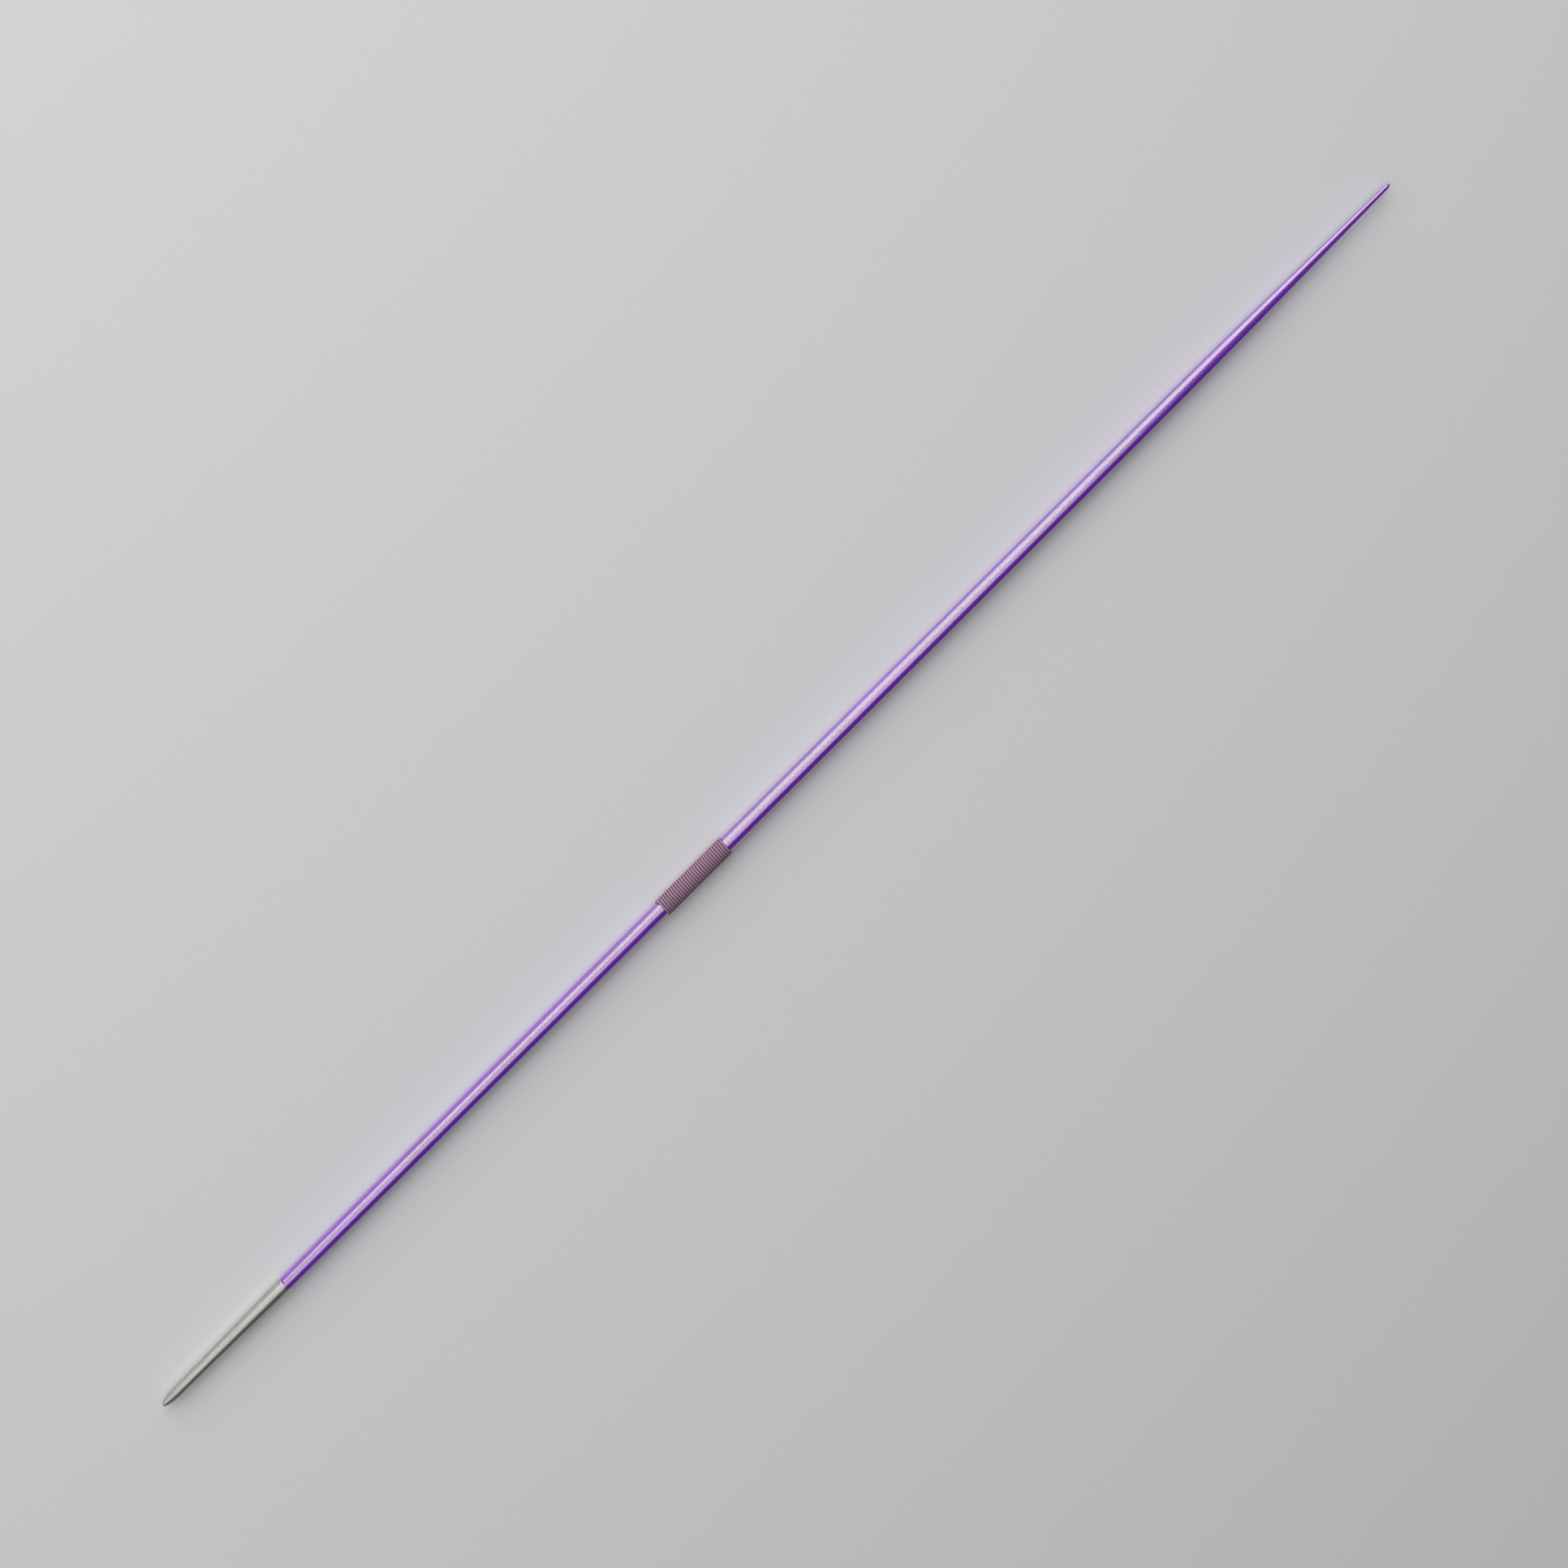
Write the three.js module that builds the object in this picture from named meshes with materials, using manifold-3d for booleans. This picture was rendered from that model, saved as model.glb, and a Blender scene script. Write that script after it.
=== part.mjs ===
// A men's throwing javelin lying on its cord grip, point towards -X and tail towards +X.
// Two swaged aluminium tubes meet on a sleeve under the grip, a steel head is bonded over the
// front tube's spigot, and a small cap closes the tail. Millimetres, +Z up. The origin is on the
// floor, below the middle of the javelin's length. A station is a distance from the point.

import * as THREE from "three";
import { mergeVertices } from "three/addons/utils/BufferGeometryUtils.js";
import Module from "manifold-3d";

// The whole javelin
const javelinLength = 2700;
const shaftDiameter = 26.12;
const bondGap = 0.1;
const seatGap = 0.3;
const roundSegments = 32;

// The head: a hardened point welded to a hollow cone
const headLength = 270.7;
const headRearDiameter = 24.66;
const headWall = 0.68;
const rearChamferShare = 0.6;
const socketDepth = 52;
const pointLength = 38;
const pointDiameter = 17.7;
const nibLength = 2;
const nibDiameter = 1.9;
const shankDiameter = 8;
const shankLength = 18;
const slugLength = 6;
const slugTaper = 1;
const coneControlShares = { firstAlong: 0.365, firstOut: 0.155, lastAlong: 0.696, lastOut: 0.862 };

// The front tube, from its spigot in the head to the joint under the grip
const shaftFrontDiameter = 24.46;
const tubeWall = 1.15;
const spigotLength = 50;
const spigotLeadIn = 1.5;
const swageLength = 6;
const foreTaperLength = 513;
const foreControlShares = { firstAlong: 0.154, firstOut: 0.62, lastAlong: 0.407, lastOut: 0.976 };

// The rear tube, from the joint to the tail cap
const tailTaperStart = 1321;
const tailConeLength = 297;
const tailConeDiameter = 20.26;
const tailEndDiameter = 7.7;
const tailEndWall = 1.95;
const tailControlShares = { firstAlong: 0.655, firstIn: 0.02, lastAlong: 0.13 };
const capDomeLength = 10;
const capShankLength = 26;

// The sleeve that joins the tubes
const sleeveLength = 130;
const sleeveWall = 1.6;

// The grip: one cord wound over a thin adhesive tape
const gripStart = 1098.2;
const gripLength = 142.9;
const gripDiameter = 31.6;
const cordTurns = 24;
const cordTurnGap = 0.45;
const tapeThickness = 0.25;
const tapeInset = 6;
const cordFlatShare = 0.1;
const stepsPerTurn = 24;
const cordStartDegrees = 90;

// The foam dampers, each a plug pressed into a tube
const damperLength = 60;
const foreDamperShares = [0.5];
const aftDamperShares = [0.3, 0.6];

const headRadius = headRearDiameter / 2;
const pointRadius = pointDiameter / 2;
const shankRadius = shankDiameter / 2;
const shaftRadius = shaftDiameter / 2;
const gripRadius = gripDiameter / 2;
const tapeRadius = shaftRadius + bondGap + tapeThickness;
const cordInnerRadius = (tapeRadius + bondGap) / Math.cos(Math.PI / stepsPerTurn);
const cordHeight = gripRadius - cordInnerRadius;
const cordPitch = (gripLength + cordTurnGap) / (cordTurns + 1);
const axisHeight = gripRadius - cordHeight * cordFlatShare;
const tubeJoint = gripStart + gripLength / 2;
const tailEnd = javelinLength - capDomeLength;
const foreStart = headLength + bondGap;
const spigotFront = foreStart - spigotLength;
const rearChamfer = headWall * rearChamferShare;
const socketRadius = headRadius - headWall;
const spigotRadius = socketRadius - bondGap;
const curveDivisions = 10;

const steel = new THREE.MeshStandardMaterial({ color: 0xb9bbb5, roughness: 0.42, metalness: 1 });
const hardSteel = new THREE.MeshStandardMaterial({ color: 0xaeb0ab, roughness: 0.36, metalness: 1 });
const brass = new THREE.MeshStandardMaterial({ color: 0xb08d4a, roughness: 0.45, metalness: 1 });
const lacquerFinish = { color: 0x6a2ba6, roughness: 0.25, metalness: 0.6 };
const violetLacquer = new THREE.MeshStandardMaterial(lacquerFinish);
const bareAluminium = new THREE.MeshStandardMaterial({ color: 0xc4c6c8, roughness: 0.4, metalness: 1 });
const mauveCord = new THREE.MeshStandardMaterial({ color: 0x9a7893, roughness: 0.85, metalness: 0 });
const paleTape = new THREE.MeshStandardMaterial({ color: 0xd8d2c0, roughness: 0.8, metalness: 0 });
const greyFoam = new THREE.MeshStandardMaterial({ color: 0x4c4e52, roughness: 0.95, metalness: 0 });

// A point of an outline: its radius, and its station along the javelin
function at(radius, station) {
  return new THREE.Vector2(radius, station);
}

// The radius of an outline at a station, by straight lines between its points
function radiusAt(outline, station) {
  const next = outline.findIndex((point) => point.y >= station);
  if (next === -1) return outline.at(-1).x;
  if (next === 0) return outline[0].x;
  const before = outline[next - 1];
  const share = (station - before.y) / (outline[next].y - before.y);
  return before.x + (outline[next].x - before.x) * share;
}

// The points of an outline between two stations, with a point on each end
function between(outline, first, last) {
  const inner = outline.filter((point) => point.y > first && point.y < last);
  return [at(radiusAt(outline, first), first), ...inner, at(radiusAt(outline, last), last)];
}

// An outline drawn in by a distance
function inset(outline, distance) {
  return outline.map((point) => at(point.x - distance, point.y));
}

// A solid of revolution from a closed outline, given from its front inner corner along the outside
function turned(outline) {
  return new THREE.LatheGeometry([...outline, outline[0]], roundSegments);
}

// The outside of the hollow cone, from the point's base to the rear edge
function coneOutline() {
  const run = headLength - pointLength;
  const rise = headRadius - pointRadius;
  const shares = coneControlShares;
  const curve = new THREE.CubicBezierCurve(
    at(pointRadius, pointLength),
    at(pointRadius + rise * shares.firstOut, pointLength + run * shares.firstAlong),
    at(pointRadius + rise * shares.lastOut, pointLength + run * shares.lastAlong),
    at(headRadius, headLength),
  );
  return curve.getPoints(curveDivisions);
}

// The outside of the shaft, from the head to the tail cap: a front taper that fades out, a straight
// middle, a long curve, and a straight cone to the tail
function shaftOutline() {
  const rise = shaftRadius - shaftFrontDiameter / 2;
  const fore = foreControlShares;
  const front = new THREE.CubicBezierCurve(
    at(shaftFrontDiameter / 2, foreStart),
    at(shaftRadius - rise * (1 - fore.firstOut), foreStart + foreTaperLength * fore.firstAlong),
    at(shaftRadius - rise * (1 - fore.lastOut), foreStart + foreTaperLength * fore.lastAlong),
    at(shaftRadius, foreStart + foreTaperLength),
  );
  const tail = tailControlShares;
  const coneStart = tailEnd - tailConeLength;
  const coneRadius = tailConeDiameter / 2;
  const coneSlope = (coneRadius - tailEndDiameter / 2) / tailConeLength;
  const curveStart = javelinLength - tailTaperStart;
  const curveRun = coneStart - curveStart;
  const tangentRun = curveRun * tail.lastAlong;
  const rear = new THREE.CubicBezierCurve(
    at(shaftRadius, curveStart),
    at(shaftRadius - (shaftRadius - coneRadius) * tail.firstIn, curveStart + curveRun * tail.firstAlong),
    at(coneRadius + coneSlope * tangentRun, coneStart - tangentRun),
    at(coneRadius, coneStart),
  );
  const end = at(tailEndDiameter / 2, tailEnd);
  return [...front.getPoints(curveDivisions), ...rear.getPoints(curveDivisions), end];
}

// The bore of the shaft: swaging thickens the wall in step with what it takes off the radius
function shaftBoreOutline() {
  const swaged = shaftRadius - tailEndDiameter / 2;
  return shaftOutline().map((point) => {
    const share = (shaftRadius - point.x) / swaged;
    return at(point.x - tubeWall - (tailEndWall - tubeWall) * share, point.y);
  });
}

const cone = coneOutline();
const shaft = shaftOutline();
const shaftBore = shaftBoreOutline();

// The hardened point: a small nib, an elliptical nose, and a shank that fills the cone's front bore
function headPoint() {
  const nibRadius = nibDiameter / 2;
  const noseWidth = pointRadius - nibRadius;
  const noseLength = pointLength - nibLength;
  const nose = new THREE.EllipseCurve(0, pointLength, noseWidth, noseLength, -Math.PI / 2, 0);
  const outline = [
    at(0, 0),
    ...nose.getPoints(curveDivisions).map((point) => at(nibRadius + point.x, point.y)),
    at(shankRadius, pointLength),
    at(shankRadius, pointLength + shankLength),
    at(0, pointLength + shankLength),
  ];
  return new THREE.LatheGeometry(outline, roundSegments);
}

// The hollow cone: a front bore for the point's shank, a tapering cavity and a rear socket
function headShell() {
  const front = pointLength + bondGap;
  const boreRadius = shankRadius + bondGap;
  const cavityStart = pointLength + shankLength;
  const socketStart = headLength - socketDepth;
  const cavity = between(inset(cone, headWall), cavityStart, socketStart);
  cavity[cavity.length - 1] = at(socketRadius, socketStart);
  const bore = [
    at(socketRadius, headLength),
    ...cavity.reverse().map((point) => at(Math.min(point.x, socketRadius), point.y)),
    at(boreRadius, cavityStart),
  ];
  return turned([
    at(boreRadius, front),
    ...between(cone, front, headLength - rearChamfer),
    at(headRadius - rearChamfer, headLength),
    ...bore,
  ]);
}

// The balance slug, driven up the cavity against the point's shank
function balanceSlug() {
  const start = pointLength + shankLength + seatGap;
  const cavityRadius = radiusAt(cone, start) - headWall - bondGap;
  const end = start + slugLength;
  return turned([
    at(0, start),
    at(cavityRadius - slugTaper, start),
    at(cavityRadius, start + slugTaper),
    at(cavityRadius, end),
    at(0, end),
  ]);
}

// The front tube: a swaged spigot in the head's socket, then the shaft's outside as far as the joint
function shaftFore() {
  const end = tubeJoint - bondGap / 2;
  const boreRadius = spigotRadius - tubeWall;
  const outside = between(shaft, foreStart, end);
  const inside = between(shaftBore, foreStart + swageLength, end).reverse();
  return turned([
    at(boreRadius, spigotFront),
    at(spigotRadius - spigotLeadIn / 2, spigotFront),
    at(spigotRadius, spigotFront + spigotLeadIn),
    at(spigotRadius, foreStart),
    ...outside,
    ...inside,
    at(boreRadius, foreStart),
  ]);
}

// The sleeve bonded inside both tubes, half its length in each
function centreSleeve() {
  const start = tubeJoint - sleeveLength / 2;
  const outer = radiusAt(shaftBore, tubeJoint) - bondGap;
  const inner = outer - sleeveWall;
  return turned([
    at(inner, start),
    at(outer, start),
    at(outer, start + sleeveLength),
    at(inner, start + sleeveLength),
  ]);
}

// The rear tube, from the joint to the tail cap
function shaftAft() {
  const start = tubeJoint + bondGap / 2;
  const outside = between(shaft, start, tailEnd);
  const inside = between(shaftBore, start, tailEnd).reverse();
  return turned([...outside, ...inside]);
}

// The tail cap: a rounded end and a shank that follows the tube's bore
function tailCap() {
  const capFront = tailEnd + bondGap;
  const domeLength = javelinLength - capFront;
  const dome = new THREE.EllipseCurve(0, capFront, tailEndDiameter / 2, domeLength, 0, Math.PI / 2);
  const shank = between(inset(shaftBore, bondGap), tailEnd - capShankLength, capFront);
  const outline = [at(0, tailEnd - capShankLength), ...shank, ...dome.getPoints(curveDivisions)];
  outline[outline.length - 1] = at(0, javelinLength);
  return new THREE.LatheGeometry(outline, roundSegments);
}

// The adhesive tape under the cord, whose ends the first and the last turn hide
function gripTape() {
  const inner = shaftRadius + bondGap;
  const outer = inner + tapeThickness;
  const start = gripStart + tapeInset;
  const end = gripStart + gripLength - tapeInset;
  return turned([at(inner, start), at(outer, start), at(outer, end), at(inner, end)]);
}

// A foam plug in a tube, as wide as the narrowest bore along it
function damper(station) {
  const start = station - damperLength / 2;
  const end = station + damperLength / 2;
  const narrowest = Math.min(...between(shaftBore, start, end).map((point) => point.x));
  const radius = narrowest - bondGap;
  return turned([at(0, start), at(radius, start), at(radius, end), at(0, end)]);
}

// The six corners of the cord's flattened section: along the javelin, and outwards from the tape
function cordSection() {
  const width = cordPitch - cordTurnGap;
  return [
    [-width / 4, 0],
    [-width / 2, cordHeight / 2],
    [-width / 4, cordHeight],
    [width / 4, cordHeight],
    [width / 2, cordHeight / 2],
    [width / 4, 0],
  ];
}

// The rings of the wound cord. It starts and ends on the +Y side, that many degrees from the top, and
// winds down under the shaft, up the -Y side and over, towards the tail. Each end runs straight on
// for one cord height.
function cordRings() {
  const steps = cordTurns * stepsPerTurn;
  const start = gripStart + (cordPitch - cordTurnGap) / 2;
  const section = cordSection();
  const startAngle = -THREE.MathUtils.degToRad(cordStartDegrees);
  const rings = Array.from({ length: steps + 1 }, (_, step) => {
    const turn = step / stepsPerTurn;
    const angle = startAngle - turn * 2 * Math.PI;
    return section.map(([along, out]) => {
      const radius = cordInnerRadius + out;
      const station = start + cordPitch * turn + along;
      return new THREE.Vector3(radius * Math.sin(angle), station, radius * Math.cos(angle));
    });
  });
  const endRun = new THREE.Vector3(-Math.cos(startAngle), 0, Math.sin(startAngle)).setLength(cordHeight);
  const before = rings[0].map((point) => point.clone().sub(endRun));
  const after = rings.at(-1).map((point) => point.clone().add(endRun));
  return [before, ...rings, after];
}

// The least distance between the corners of rings that lie half a turn or more apart
function leastTurnGap(rings) {
  let least = Infinity;
  for (const [index, ring] of rings.entries()) {
    for (const other of rings.slice(index + stepsPerTurn / 2)) {
      const distances = ring.flatMap((point) => other.map((far) => point.distanceTo(far)));
      least = Math.min(least, ...distances);
    }
  }
  return least;
}

// A closed tube through rings of points, with a flat fan on each end
function tubeThrough(rings) {
  const sides = rings[0].length;
  const corner = (ring, side) => ring * sides + (side % sides);
  const faces = [];
  for (let ring = 0; ring < rings.length - 1; ring += 1) {
    for (let side = 0; side < sides; side += 1) {
      faces.push(corner(ring, side), corner(ring + 1, side + 1), corner(ring + 1, side));
      faces.push(corner(ring, side), corner(ring, side + 1), corner(ring + 1, side + 1));
    }
  }
  const last = rings.length - 1;
  for (let side = 1; side < sides - 1; side += 1) {
    faces.push(corner(0, 0), corner(0, side + 1), corner(0, side));
    faces.push(corner(last, 0), corner(last, side), corner(last, side + 1));
  }
  const geometry = new THREE.BufferGeometry().setFromPoints(rings.flat());
  return geometry.setIndex(faces);
}

const wasm = await Module();
wasm.setup();

// A three.js geometry as a solid that can be cut
function solidOf(geometry) {
  const bare = geometry.clone();
  bare.deleteAttribute("normal");
  bare.deleteAttribute("uv");
  const merged = mergeVertices(bare);
  return new wasm.Manifold(
    new wasm.Mesh({
      numProp: 3,
      vertProperties: merged.attributes.position.array,
      triVerts: new Uint32Array(merged.index.array),
    }),
  );
}

function geometryOf(solid) {
  const mesh = solid.getMesh();
  const geometry = new THREE.BufferGeometry();
  geometry.setAttribute("position", new THREE.BufferAttribute(mesh.vertProperties, mesh.numProp));
  geometry.setIndex(new THREE.BufferAttribute(mesh.triVerts, 1));
  geometry.computeVertexNormals();
  return geometry;
}

// The cord grip: one tube wound round the tape, pressed flat where the javelin lies on it
function gripCord() {
  const rings = cordRings();
  console.log(`grip cord: least gap between its turns ${leastTurnGap(rings).toFixed(3)} mm`);
  const floor = new THREE.BoxGeometry(gripDiameter, gripLength * 2, gripRadius);
  floor.translate(0, gripStart + gripLength / 2, -axisHeight - gripRadius / 2);
  return geometryOf(solidOf(tubeThrough(rings)).subtract(solidOf(floor)));
}

const javelin = new THREE.Group();
const alongX = new THREE.Group();
alongX.rotation.z = -Math.PI / 2;
alongX.position.set(-javelinLength / 2, 0, axisHeight);
javelin.add(alongX);

function add(name, geometry, material) {
  const mesh = new THREE.Mesh(geometry, material);
  mesh.name = name;
  alongX.add(mesh);
}

add("head_point", headPoint(), hardSteel);
add("head_shell", headShell(), steel);
add("balance_slug", balanceSlug(), brass);
add("shaft_fore", shaftFore(), violetLacquer);
add("centre_sleeve", centreSleeve(), bareAluminium);
add("shaft_aft", shaftAft(), violetLacquer);
add("tail_cap", tailCap(), violetLacquer);
add("grip_tape", gripTape(), paleTape);
add("grip_cord", gripCord(), mauveCord);

foreDamperShares.forEach((share, index) => {
  const station = foreStart + (tubeJoint - foreStart) * share;
  add(`damper_fore_${index + 1}`, damper(station), greyFoam);
});
aftDamperShares.forEach((share, index) => {
  const station = tubeJoint + (tailEnd - tubeJoint) * share;
  add(`damper_aft_${index + 1}`, damper(station), greyFoam);
});

export default javelin;
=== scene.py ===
import math

import bpy
import mathutils
import numpy as np
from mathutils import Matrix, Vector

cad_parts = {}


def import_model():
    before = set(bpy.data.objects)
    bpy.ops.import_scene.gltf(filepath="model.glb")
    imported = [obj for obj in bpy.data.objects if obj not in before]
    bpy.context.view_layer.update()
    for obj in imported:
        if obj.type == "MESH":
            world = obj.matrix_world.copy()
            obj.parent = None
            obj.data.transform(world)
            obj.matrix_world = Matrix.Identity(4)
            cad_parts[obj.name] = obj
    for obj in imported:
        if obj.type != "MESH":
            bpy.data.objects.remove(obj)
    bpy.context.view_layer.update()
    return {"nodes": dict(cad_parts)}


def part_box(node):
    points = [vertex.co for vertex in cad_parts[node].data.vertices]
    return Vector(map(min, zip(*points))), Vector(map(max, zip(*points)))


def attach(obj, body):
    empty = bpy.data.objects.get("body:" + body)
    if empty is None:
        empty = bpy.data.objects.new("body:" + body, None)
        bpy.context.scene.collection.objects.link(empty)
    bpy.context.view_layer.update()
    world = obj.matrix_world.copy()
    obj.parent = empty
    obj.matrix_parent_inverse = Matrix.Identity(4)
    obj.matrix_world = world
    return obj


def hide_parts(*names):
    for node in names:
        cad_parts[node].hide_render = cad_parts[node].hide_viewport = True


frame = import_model()

# A men's throwing javelin lying on its cord grip, seen square to its axis from above.
# A station is a distance from the point, along the javelin. All lengths are in metres.

mm = 0.001
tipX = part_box("head_point")[0].x
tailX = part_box("tail_cap")[1].x
axisZ = (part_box("shaft_aft")[0].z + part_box("shaft_aft")[1].z) / 2
javelinLength = tailX - tipX
facesAround = 96         # round every turned piece
sharpAngle = 30          # in degrees, past which an edge isn't smoothed
noiseLow, noiseHigh = 0.3, 0.7      # between which nearly all of a noise texture's values lie


# Half of a CAD node's width, which is the outer radius of a round piece
def outerRadius(node):
    low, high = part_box(node)
    return (high.y - low.y) / 2


# A CAD node's first and last station: its lowest and highest x, less the point's x
def stations(node):
    low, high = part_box(node)
    return low.x - tipX, high.x - tipX


# sRGB hex to linear light: c / 12.92 below 0.04045, else ((c + 0.055) / 1.055) to the power 2.4
def toLinear(hexColour):
    value = int(hexColour.lstrip("#"), 16)
    channels = np.array([value >> 16 & 255, value >> 8 & 255, value & 255]) / 255
    linear = np.where(channels <= 0.04045, channels / 12.92, ((channels + 0.055) / 1.055) ** 2.4)
    return (*linear.tolist(), 1.0)


# A step from 0 to 1 with soft ends: u squared times (3 - 2 u), with u held between 0 and 1
def smoothStep(u):
    u = np.clip(u, 0, 1)
    return u * u * (3 - 2 * u)


# A cubic Bezier: (1 - u)^3 a + 3 (1 - u)^2 u b + 3 (1 - u) u^2 c + u^3 d, for u from 0 to 1
def bezier(a, b, c, d, count):
    u = np.linspace(0, 1, count)[:, None]
    a, b, c, d = (np.array(p, float) for p in (a, b, c, d))
    return (1 - u) ** 3 * a + 3 * (1 - u) ** 2 * u * b + 3 * (1 - u) * u**2 * c + u**3 * d


# Part of an ellipse, from one angle to another: centre + (along cos a, out sin a)
def ellipseArc(centre, along, out, first, last, count):
    a = np.radians(np.linspace(first, last, count))
    return np.column_stack([centre[0] + along * np.cos(a), centre[1] + out * np.sin(a)])


# The radius of an outline at any stations, by straight lines between its points
def radiusAt(outline, where):
    return np.interp(where, outline[:, 0], outline[:, 1])


# The stretch of an outline between two stations, with a point on each end
def between(outline, first, last):
    inner = outline[(outline[:, 0] > first) & (outline[:, 0] < last)]
    ends = radiusAt(outline, [first, last])
    return np.vstack([(first, ends[0]), inner, (last, ends[1])])


# A mesh object from points and faces, smooth but for its sharp edges
def meshPiece(name, points, faces):
    mesh = bpy.data.meshes.new(name)
    mesh.from_pydata(points.tolist(), [], faces)
    mesh.shade_smooth()
    mesh.set_sharp_from_angle(angle=math.radians(sharpAngle))
    piece = bpy.data.objects.new(name, mesh)
    bpy.context.scene.collection.objects.link(piece)
    return piece


# The fan of triangles that closes a ring of points in one point
def fan(ring, tip, flipped):
    pairs = np.column_stack([ring, np.roll(ring, -1)])
    pairs = pairs[:, ::-1] if flipped else pairs
    return np.column_stack([pairs, np.full(len(ring), tip)]).tolist()


# A surface of revolution from a profile of (station, radius) that runs from front to back outside:
# x = tip + station, y = radius sin a, z = axis height + radius cos a. A profile that starts on the
# axis closes in two poles, and any other is joined end to end into a tube with a bore.
def turnedPiece(name, profile):
    profile = np.array(profile, float)
    hasPoles = profile[0, 1] == 0
    rings = profile[1:-1] if hasPoles else profile
    a = np.linspace(0, 2 * np.pi, facesAround, endpoint=False)
    x = np.repeat(tipX + rings[:, :1], facesAround, axis=1)
    y = rings[:, 1:] * np.sin(a)
    z = axisZ + rings[:, 1:] * np.cos(a)
    points = np.stack([x, y, z], axis=-1).reshape(-1, 3)
    grid = np.arange(len(points)).reshape(-1, facesAround)
    here = grid[:-1] if hasPoles else grid
    after = grid[1:] if hasPoles else np.roll(grid, -1, axis=0)
    quads = np.stack([here, after, np.roll(after, -1, 1), np.roll(here, -1, 1)], axis=-1)
    faces = quads.reshape(-1, 4).tolist()
    if hasPoles:
        faces += fan(grid[0], len(points), False) + fan(grid[-1], len(points) + 1, True)
        points = np.vstack([points, [[tipX + end, 0, axisZ] for end in profile[[0, -1], 0]]])
    return meshPiece(name, points, faces)


# Adds a node, sets its properties and fills its inputs from values or other nodes' outputs.
# A colour ramp's stops are pairs of a place and a hex colour.
def addNode(tree, kind, inputs=None, stops=(), **settings):
    node = tree.nodes.new("ShaderNode" + kind)
    for key, value in settings.items():
        setattr(node, key, value)
    for socket, value in (inputs or {}).items():
        if isinstance(value, bpy.types.Node):
            value = next(out for out in value.outputs if out.enabled)
        if isinstance(value, bpy.types.NodeSocket):
            tree.links.new(value, node.inputs[socket])
        else:
            node.inputs[socket].default_value = value
    for index, (place, colour) in enumerate(stops):
        element = node.color_ramp.elements[index] if index < 2 else node.color_ramp.elements.new(place)
        element.position = place
        element.color = toLinear(colour)
    return node


# A new material whose node tree holds nothing but its output
def emptyMaterial(name):
    material = bpy.data.materials.new(name)
    material.use_nodes = True
    material.node_tree.nodes.clear()
    return material, material.node_tree


# The Mapping scale at which noise has grains of one size along the javelin and another across it:
# one over each size
def grainScale(along, across):
    return 1 / along, 1 / across, 1 / across


# Gives a piece its material and its body, and hides the CAD node that it stands for
def dress(piece, material, node):
    piece.data.materials.append(material)
    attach(piece, "root")
    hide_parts(node)
    return piece


# Steel turned on a lathe and satin finished: grey with a faint green cast, fine rings round the
# axis, faint streaks along it, a broad soft highlight and no mirror image. Handling has polished the
# rear rim, which is brighter.
steelFinish = {
    "pale": "#d0d2ca",
    "dark": "#babcb4",
    "roughness": (0.4, 0.49),
    "ringSize": (0.9 * mm, 60 * mm),    # turning marks are near 0.2 mm, drawn coarser so that they show
    "ringDepth": 0.008 * mm,
    "streakSize": (24 * mm, 2.2 * mm),
    "toneSpread": (0.7, 1.3),    # of the rings' noise and the streaks' together
    "rimRoughness": 0.33,
    "rimLength": 2.4 * mm,
}


# Tone = rings + streaks, from dark to pale. The rings set the roughness too, but for the rear rim's.
def satinTurnedSteel():
    finish = steelFinish
    material, tree = emptyMaterial("satinTurnedSteel")
    place = addNode(tree, "TexCoord").outputs["Object"]
    ringPlace = addNode(tree, "Mapping", {"Vector": place, "Scale": grainScale(*finish["ringSize"])})
    rings = addNode(tree, "TexNoise", {"Vector": ringPlace, "Scale": 1, "Detail": 4})
    streakPlace = addNode(tree, "Mapping", {
        "Vector": place, "Scale": grainScale(*finish["streakSize"]),
    })
    streaks = addNode(tree, "TexNoise", {"Vector": streakPlace, "Scale": 1, "Detail": 3})
    tone = addNode(tree, "Math", {0: rings, 1: streaks}, operation="ADD")
    darkest, palest = finish["toneSpread"]
    shade = addNode(tree, "MapRange", {"Value": tone, "From Min": darkest, "From Max": palest})
    low, high = finish["roughness"]
    satin = addNode(tree, "MapRange", {
        "Value": rings, "From Min": noiseLow, "From Max": noiseHigh, "To Min": low, "To Max": high,
    })
    rimEnd = tipX + stations("head_shell")[1]
    rim = addNode(tree, "MapRange", {
        "Value": addNode(tree, "SeparateXYZ", {0: place}).outputs["X"],
        "From Min": rimEnd - finish["rimLength"],
        "From Max": rimEnd - finish["rimLength"] / 2,
    })
    steel = addNode(tree, "BsdfPrincipled", {
        "Base Color": addNode(tree, "ValToRGB", {0: shade}, stops=(
            (0, finish["dark"]), (1, finish["pale"]),
        )),
        "Metallic": 1.0,
        "Roughness": addNode(tree, "Mix", {
            "Factor": rim, "A": satin, "B": finish["rimRoughness"],
        }, data_type="FLOAT"),
        "Normal": addNode(tree, "Bump", {"Height": rings, "Distance": finish["ringDepth"]}),
    })
    addNode(tree, "OutputMaterial", {"Surface": steel})
    return material


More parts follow.
